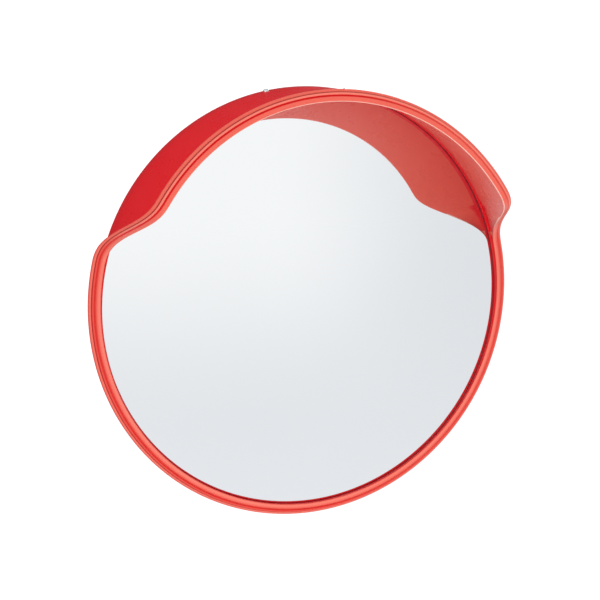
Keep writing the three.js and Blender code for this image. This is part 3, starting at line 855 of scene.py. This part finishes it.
def ring_piece(name, node, body, outer, thickness, matrix):
    """A washer or disc on an M8 bolt, from y = 0 to its thickness."""
    made = turned(name, washer_profile(M8_HOLE_R, outer, 0, thickness), 64, matrix, closed=True)
    finish_piece(made, body, node)


def tilt_bracket():
    holes = [hole(x, z, M6_HOLE_R) for x, z in corner_places(BOLT_X, BOLT_Z)]
    back = slab("tilt_bracket_steel", rounded_rectangle(120, 90, 8), STEEL, holes, 0.6,
                matrix=place(0, RIM_Y + BRACKET_FACE + STEEL, 0, FLAT_Y))
    foot = -TILT_FROM_PLATE - 1
    outline = [(foot, -EAR_ROOT), (foot + 6, -EAR_ROOT), *arc(0, 0, EAR_END_R, -99, 99, 24),
               (foot + 6, EAR_ROOT), (foot, EAR_ROOT)]
    ears = []
    for left, opening in ((EAR_INNER, hole(0, 0, M8_HOLE_R)), (-EAR_OUTER, square_hole())):
        ears.append(slab("tool", outline, STEEL, [opening], 0.6, matrix=place(left, TILT_Y, 0, SIDE_X)))
    finish_piece(boolean(back, "UNION", *ears), "mirror_head", "tilt_bracket")

    on_axis = lambda x: place(x, TILT_Y, 0, TO_X)
    finish_piece(pivot_bolt("tilt_bolt_m8", 2 * EAR_OUTER + 18, on_axis(-EAR_OUTER - GAP)), "mirror_head",
                 "tilt_bolt")
    finish_piece(wing_nut("tilt_wing_nut_cast", on_axis(EAR_OUTER + M8_WASHER + 2 * GAP)), "tilt_wing_nut",
                 "tilt_wing_nut")
    ring_piece("tilt_washer_m8", "tilt_washer", "mirror_head", 8, M8_WASHER, on_axis(EAR_OUTER + GAP))
    for side, x in (("left", -EAR_INNER + GAP), ("right", TILT_BARREL_HALF + GAP)):
        ring_piece(f"friction_disc_{side}", f"tilt_friction_disc_{side}", "swivel", 12.5, DISC_THICKNESS,
                   on_axis(x))


def square_hole():
    return list(reversed(rounded_rectangle(NECK_HOLE, NECK_HOLE, 0.5, 3)))


def rod(name, radius, start, end, matrix, steps=64, edge=0.0):
    corners = [(0, start), (radius, start), (radius, end), (0, end)]
    return turned(name, filleted(corners, [0, edge, edge, 0], 4, closed=False), steps, matrix)


def swivel_knuckle():
    upright, level = place(0, PAN_Y, 0, TO_Z), place(0, TILT_Y, 0, TO_X)
    reach = PAN_Y - TILT_Y
    knuckle = rod("knuckle_casting", PAN_BARREL_R, -PAN_BARREL_HALF, PAN_BARREL_HALF, upright, 64, 0.8)
    neck = slab("tool", rounded_rectangle(20, 20, 4), reach, edge=0.5, matrix=place(0, PAN_Y, 0, FLAT_Y))
    barrel = rod("tool", TILT_BARREL_R, -TILT_BARREL_HALF, TILT_BARREL_HALF, level, 64, 0.8)
    cast_skin(boolean(knuckle, "UNION", neck, barrel), 0.7, 4)
    socket = PAN_BARREL_HALF - BUSH_DEPTH
    boolean(
        knuckle, "DIFFERENCE",
        rod("tool", M8_HOLE_R, -40, 40, level, 40),
        rod("tool", M8_HOLE_R, -40, 40, upright, 40),
        rod("tool", BUSH_R + GAP, socket, 40, upright, 40),
        rod("tool", BUSH_R + GAP, -40, -socket, upright, 40),
    )
    finish_piece(knuckle, "swivel", "swivel_knuckle")
    bush = filleted([(M8_HOLE_R, GAP - BUSH_DEPTH), (BUSH_R, GAP - BUSH_DEPTH), (BUSH_R, 0), (11, 0),
                     (11, BUSH_FLANGE), (M8_HOLE_R, BUSH_FLANGE)], [0.3, 0.5, 0, 0.4, 0.7, 0.4], 3)
    seat = PAN_BARREL_HALF + GAP
    for end, where in (("top", place(0, PAN_Y, seat, TO_Z)), ("bottom", place(0, PAN_Y, -seat, DOWN_Z))):
        finish_piece(turned(f"bush_{end}", bush, 64, where, closed=True), "swivel", f"pan_bush_{end}")


def fork_path():
    """Places along the strap's middle line as (y, z, direction of its outer face in degrees, half width)."""
    middle = (FORK_INNER + FORK_OUTER) / 2
    rows = []
    for i in range(17):  # round end
        a = math.pi / 2 * i / 16
        y = PAN_Y - FORK_WIDTH / 2 * math.cos(a)
        rows.append((y, middle, 90, max(1.0, FORK_WIDTH / 2 * math.sin(a))))
    rows.append((PAN_Y + 10, middle, 90, FORK_WIDTH / 2))
    for i in range(9):
        a = 90 - 90 * i / 8
        r = STEEL / 2
        y = FORK_WEB + r * math.cos(math.radians(a))
        z = FORK_INNER + r * math.sin(math.radians(a))
        rows.append((y, z, a, FORK_WIDTH / 2))
    return rows + [(y, -z, -a, w) for y, z, a, w in reversed(rows)]


def pan_fork():
    edge = 0.6
    sections = []
    for y, z, a, width in fork_path():
        out = Vector((0, math.cos(math.radians(a)), math.sin(math.radians(a))))
        section = []
        for u, v in rounded_rectangle(2 * width, STEEL, edge, 3):
            section.append((u, y + out.y * v, z + out.z * v))
        sections.append(section)
    fork = loft("fork_steel", sections, ring=False)
    boolean(
        fork, "DIFFERENCE",
        rod("tool", M8_HOLE_R, -60, 0, place(0, PAN_Y, 0, TO_Z), 40),
        slab("tool", rounded_rectangle(NECK_HOLE, NECK_HOLE, 0.5, 3), 20, edge=0.1, steps=1,
             matrix=place(0, PAN_Y, FORK_INNER - 5)),
    )
    finish_piece(fork, "wall_bracket", "pan_fork")
    below = lambda z: place(0, PAN_Y, z, DOWN_Z)
    finish_piece(pivot_bolt("pan_bolt_m8", 2 * FORK_OUTER + 18, below(FORK_OUTER + GAP)), "wall_bracket",
                 "pan_bolt")
    ring_piece("pan_washer_m8", "pan_washer", "wall_bracket", 8, M8_WASHER, below(-FORK_OUTER - GAP))
    finish_piece(wing_nut("pan_wing_nut_cast", below(-FORK_OUTER - M8_WASHER - 2 * GAP)), "pan_wing_nut",
                 "pan_wing_nut")


def weld_ring(name, y, away):
    """A rippled weld bead round the arm at y, lying towards away."""
    sections, turns = [], 144
    for i in range(turns):
        angle = TAU * i / turns
        ripple = 0.22 * math.sin(angle * 30) + 0.12 * math.sin(angle * 11 + 1.3)
        size = 3.0 + ripple
        profile = [(ARM_R - 0.4, 0.05), (ARM_R + size, 0.05), (ARM_R + size * 0.55, size * 0.5),
                   (ARM_R + 0.15, size), (ARM_R - 0.4, size)]
        c, s = math.cos(angle), math.sin(angle)
        sections.append([(r * c, y + away * d, r * s)
                         for r, d in filleted(profile, [0, 0.5, 1.0, 0.5, 0], 3)])
    finish_piece(loft(name, sections, smooth=60), "wall_bracket", material_slot="galvanised")


def weld_line(name, start, end, side):
    """A rippled bead along a straight joint from start to end; side holds the two directions it fills."""
    start, end = Vector(start), Vector(end)
    a, b = Vector(side[0]), Vector(side[1])
    length, sections = (end - start).length, []
    rows = max(12, int(length * 2))
    for i in range(rows + 1):
        t = i / rows
        swell = min(1.0, 6 * min(t, 1 - t) + 0.25)
        size = (2.2 + 0.2 * math.sin(t * length * 2.1)) * swell
        base = start.lerp(end, t)
        profile = [(0, 0), (size, 0), (size * 0.55, size * 0.55), (0, size)]
        sections.append([tuple(base + a * u + b * v) for u, v in filleted(profile, [0, 0.3, 0.8, 0.3], 3)])
    finish_piece(loft(name, sections, ring=False, smooth=60), "wall_bracket", material_slot="galvanised")


def wall_bracket():
    arm_front = FORK_WEB + STEEL + GAP
    arm_end = -STEEL - GAP
    tube = filleted([(ARM_BORE_R, arm_front), (ARM_R, arm_front), (ARM_R, arm_end), (ARM_BORE_R, arm_end)],
                    [0.4] * 4, 3)
    finish_piece(turned("arm_tube", tube, 96, closed=True), "wall_bracket", "support_arm")
    back, foot = -STEEL - GAP, ARM_R + GAP
    outline = [(back, foot), (back, foot + GUSSET_RISE), (back - 6, foot + GUSSET_RISE),
               (back - GUSSET_RUN, foot + 5), (back - GUSSET_RUN, foot)]
    outline = filleted(outline, [0.5, 0.5, 3, 2, 0.5], 5)
    for end, turn in (("top", 0), ("bottom", math.pi)):
        where = Matrix.Rotation(turn, 4, "Y") @ place(-GUSSET_THICKNESS / 2, 0, 0, SIDE_X)
        finish_piece(slab(f"gusset_steel_{end}", outline, GUSSET_THICKNESS, edge=0.5, matrix=where),
                     "wall_bracket", f"gusset_{end}")
    holes = [hole(x, z, WALL_HOLE_R, 40) for x, z in corner_places(WALL_HOLE, WALL_HOLE)]
    outline = rounded_rectangle(PLATE_SIDE, PLATE_SIDE, PLATE_CORNER_R, 12)
    plate = slab("wall_plate_steel", outline, STEEL, holes, 0.6, matrix=FLAT_Y)
    finish_piece(plate, "wall_bracket", "wall_plate")


def welds():
    weld_ring("weld_arm_plate", -STEEL, -1)
    weld_ring("weld_arm_fork", FORK_WEB + STEEL, 1)
    half = GUSSET_THICKNESS / 2
    for up, end in ((1, "top"), (-1, "bottom")):
        for side, hand in ((1, "right"), (-1, "left")):
            x, foot = side * half, up * (ARM_R + 3.5)
            weld_line(f"weld_{end}_{hand}_plate", (x, -STEEL, foot), (x, -STEEL, up * (ARM_R + GUSSET_RISE)),
                      ((side, 0, 0), (0, -1, 0)))
            root_z = up * (ARM_R - 0.1)
            weld_line(f"weld_{end}_{hand}_arm", (x, -STEEL - 4, root_z), (x, -STEEL - GUSSET_RUN, root_z),
                      ((side, 0, 0), (0, 0, up)))


build_frame()
build_mirror()
build_shell()
frame_screws()
clamp_stack()
tilt_bracket()
swivel_knuckle()
pan_fork()
wall_bracket()
welds()

# ---------------------------------------------------------------- floor, light and camera


def studio(tree, direction):
    """The studio's pale colour in a direction, a little dimmer towards the ground and towards the right, and
    how far that direction is behind the object and not overhead (0 to 1)."""

    def node(kind, **values):
        made = tree.nodes.new("ShaderNode" + kind)
        for key, value in values.items():
            setattr(made, key, value)
        return made

    parts = node("SeparateXYZ")
    tree.links.new(direction, parts.inputs[0])

    def fade(axis, low, high, to_low, to_high):
        made = node("MapRange", interpolation_type="SMOOTHSTEP")
        for key, value in zip(("From Min", "From Max", "To Min", "To Max"), (low, high, to_low, to_high)):
            made.inputs[key].default_value = value
        tree.links.new(parts.outputs[axis], made.inputs["Value"])
        return made.outputs["Result"]

    bright = node("Math", operation="MULTIPLY")
    behind = node("Math", operation="MULTIPLY")
    tree.links.new(fade("Y", 0.45, 0.8, 0.0, 1.0), behind.inputs[0])
    tree.links.new(fade("Z", 0.55, 0.8, 1.0, 0.0), behind.inputs[1])
    tree.links.new(fade("X", 0.25, 0.75, 1.0, 0.0), bright.inputs[0])
    tree.links.new(fade("Z", -0.5, 0.05, 0.0, 1.0), bright.inputs[1])
    colour = node("Mix", data_type="RGBA")
    colour.inputs[6].default_value = (0.795, 0.815, 0.840, 1)
    colour.inputs[7].default_value = (0.985, 0.995, 1.0, 1)
    tree.links.new(bright.outputs[0], colour.inputs[0])
    return colour.outputs[2], behind.outputs[0]


FLOOR_Z, FLOOR_REACH, FLOOR_SPLIT = -1.5, 400.0, 0.4  # metres


def floor():
    """The floor in two halves. The rear one doesn't show in gloss, which keeps the outer wall's red deep."""
    s = Shader("floor", Roughness=0.9, Specular_IOR_Level=0.0)
    away = s.node("VectorMath", operation="SUBTRACT")
    s.wire(s.where, away.inputs[0])
    away.inputs[1].default_value = (0, RIM_Y * MM, 0)
    unit = s.node("VectorMath", operation="NORMALIZE")
    s.wire(away.outputs["Vector"], unit.inputs[0])
    colour, behind = studio(s.tree, unit.outputs["Vector"])
    s.colour(colour)
    s.bsdf.inputs["Emission Color"].default_value = (1, 1, 1, 1)
    s.wire(s.maths("MULTIPLY", behind, 0.25), s.bsdf.inputs["Emission Strength"])
    wide, split, z = FLOOR_REACH, FLOOR_SPLIT, FLOOR_Z
    for name, far in (("floor_front", -FLOOR_REACH), ("floor_rear", FLOOR_REACH)):
        verts = [(-wide, split, z), (wide, split, z), (wide, far, z), (-wide, far, z)]
        mesh = bpy.data.meshes.new(name)
        mesh.from_pydata(verts, [], [(0, 1, 2, 3)])
        obj = bpy.data.objects.new(name, mesh)
        bpy.context.scene.collection.objects.link(obj)
        obj.data.materials.append(s.material)
        obj.visible_glossy = name == "floor_front"


def world():
    """A studio tent: even white for diffuse light, and for gloss bright in front and dimmer behind."""
    made = bpy.data.worlds.new("studio")
    bpy.context.scene.world = made
    made.use_nodes = True
    tree = made.node_tree
    colour, behind = studio(tree, tree.nodes.new("ShaderNodeTexCoord").outputs["Generated"])
    path = tree.nodes.new("ShaderNodeLightPath")

    def blend(share, a, b):
        mixed = tree.nodes.new("ShaderNodeMix")
        mixed.data_type = "RGBA"
        for socket, value in zip((mixed.inputs[0], mixed.inputs[6], mixed.inputs[7]), (share, a, b)):
            if isinstance(value, float):
                socket.default_value = (value, value, value, 1)
            else:
                tree.links.new(value, socket)
        return mixed.outputs[2]

    rear = blend(path.outputs["Is Glossy Ray"], 1.1, 0.10)
    seen = blend(behind, colour, rear)
    tree.links.new(blend(path.outputs["Is Diffuse Ray"], seen, 1.0), tree.nodes["Background"].inputs["Color"])


def area_light(name, spot, aim, size, power):
    data = bpy.data.lights.new(name, "AREA")
    data.shape, data.size, data.energy = "DISK", size, power
    obj = bpy.data.objects.new(name, data)
    obj.location = spot
    obj.rotation_euler = (Vector(aim) - Vector(spot)).to_track_quat("-Z", "Y").to_euler()
    bpy.context.scene.collection.objects.link(obj)
    return obj


def camera():
    """The photograph's own view: yaw to the viewer's left, a little above, aimed at the rim's centre."""
    yaw, pitch, roll = math.radians(21.24), math.radians(9.55), math.radians(0.5)
    distance = 2.421
    away = Vector((-math.sin(yaw) * math.cos(pitch), -math.cos(yaw) * math.cos(pitch), math.sin(pitch)))
    data = bpy.data.cameras.new("camera")
    data.sensor_width, data.lens = 36.0, 108.24
    data.shift_x, data.shift_y = -0.01183, -0.00233
    data.clip_end = 1000
    obj = bpy.data.objects.new("camera", data)
    obj.location = Vector((0, RIM_Y * MM, 0)) + away * distance
    obj.rotation_mode = "QUATERNION"
    aim = (-away).to_track_quat("-Z", "Y")
    obj.rotation_quaternion = aim @ Matrix.Rotation(roll, 4, "Z").to_quaternion()
    bpy.context.scene.collection.objects.link(obj)
    bpy.context.scene.camera = obj


def lights():
    """A key light, a low fill that lights only the frame and the hood's inside, and a light behind."""
    area_light("key", (-1.8, -1.6, 2.6), (0, -0.3, 0.1), 0.7, 12)
    low_fill = area_light("low_fill", (0.1, -2.2, -0.9), (0, -0.35, 0.1), 1.0, 16)
    low_fill.visible_glossy = False
    lit = bpy.data.collections.new("lit_from_below")
    lit.objects.link(bpy.data.objects["frame_moulding"])
    low_fill.light_linking.receiver_collection = lit
    area_light("back_light", (1.4, 1.5, 1.6), (0, -0.1, 0), 0.8, 8)


floor()
world()
lights()
camera()
bpy.context.scene.view_settings.view_transform = "Standard"
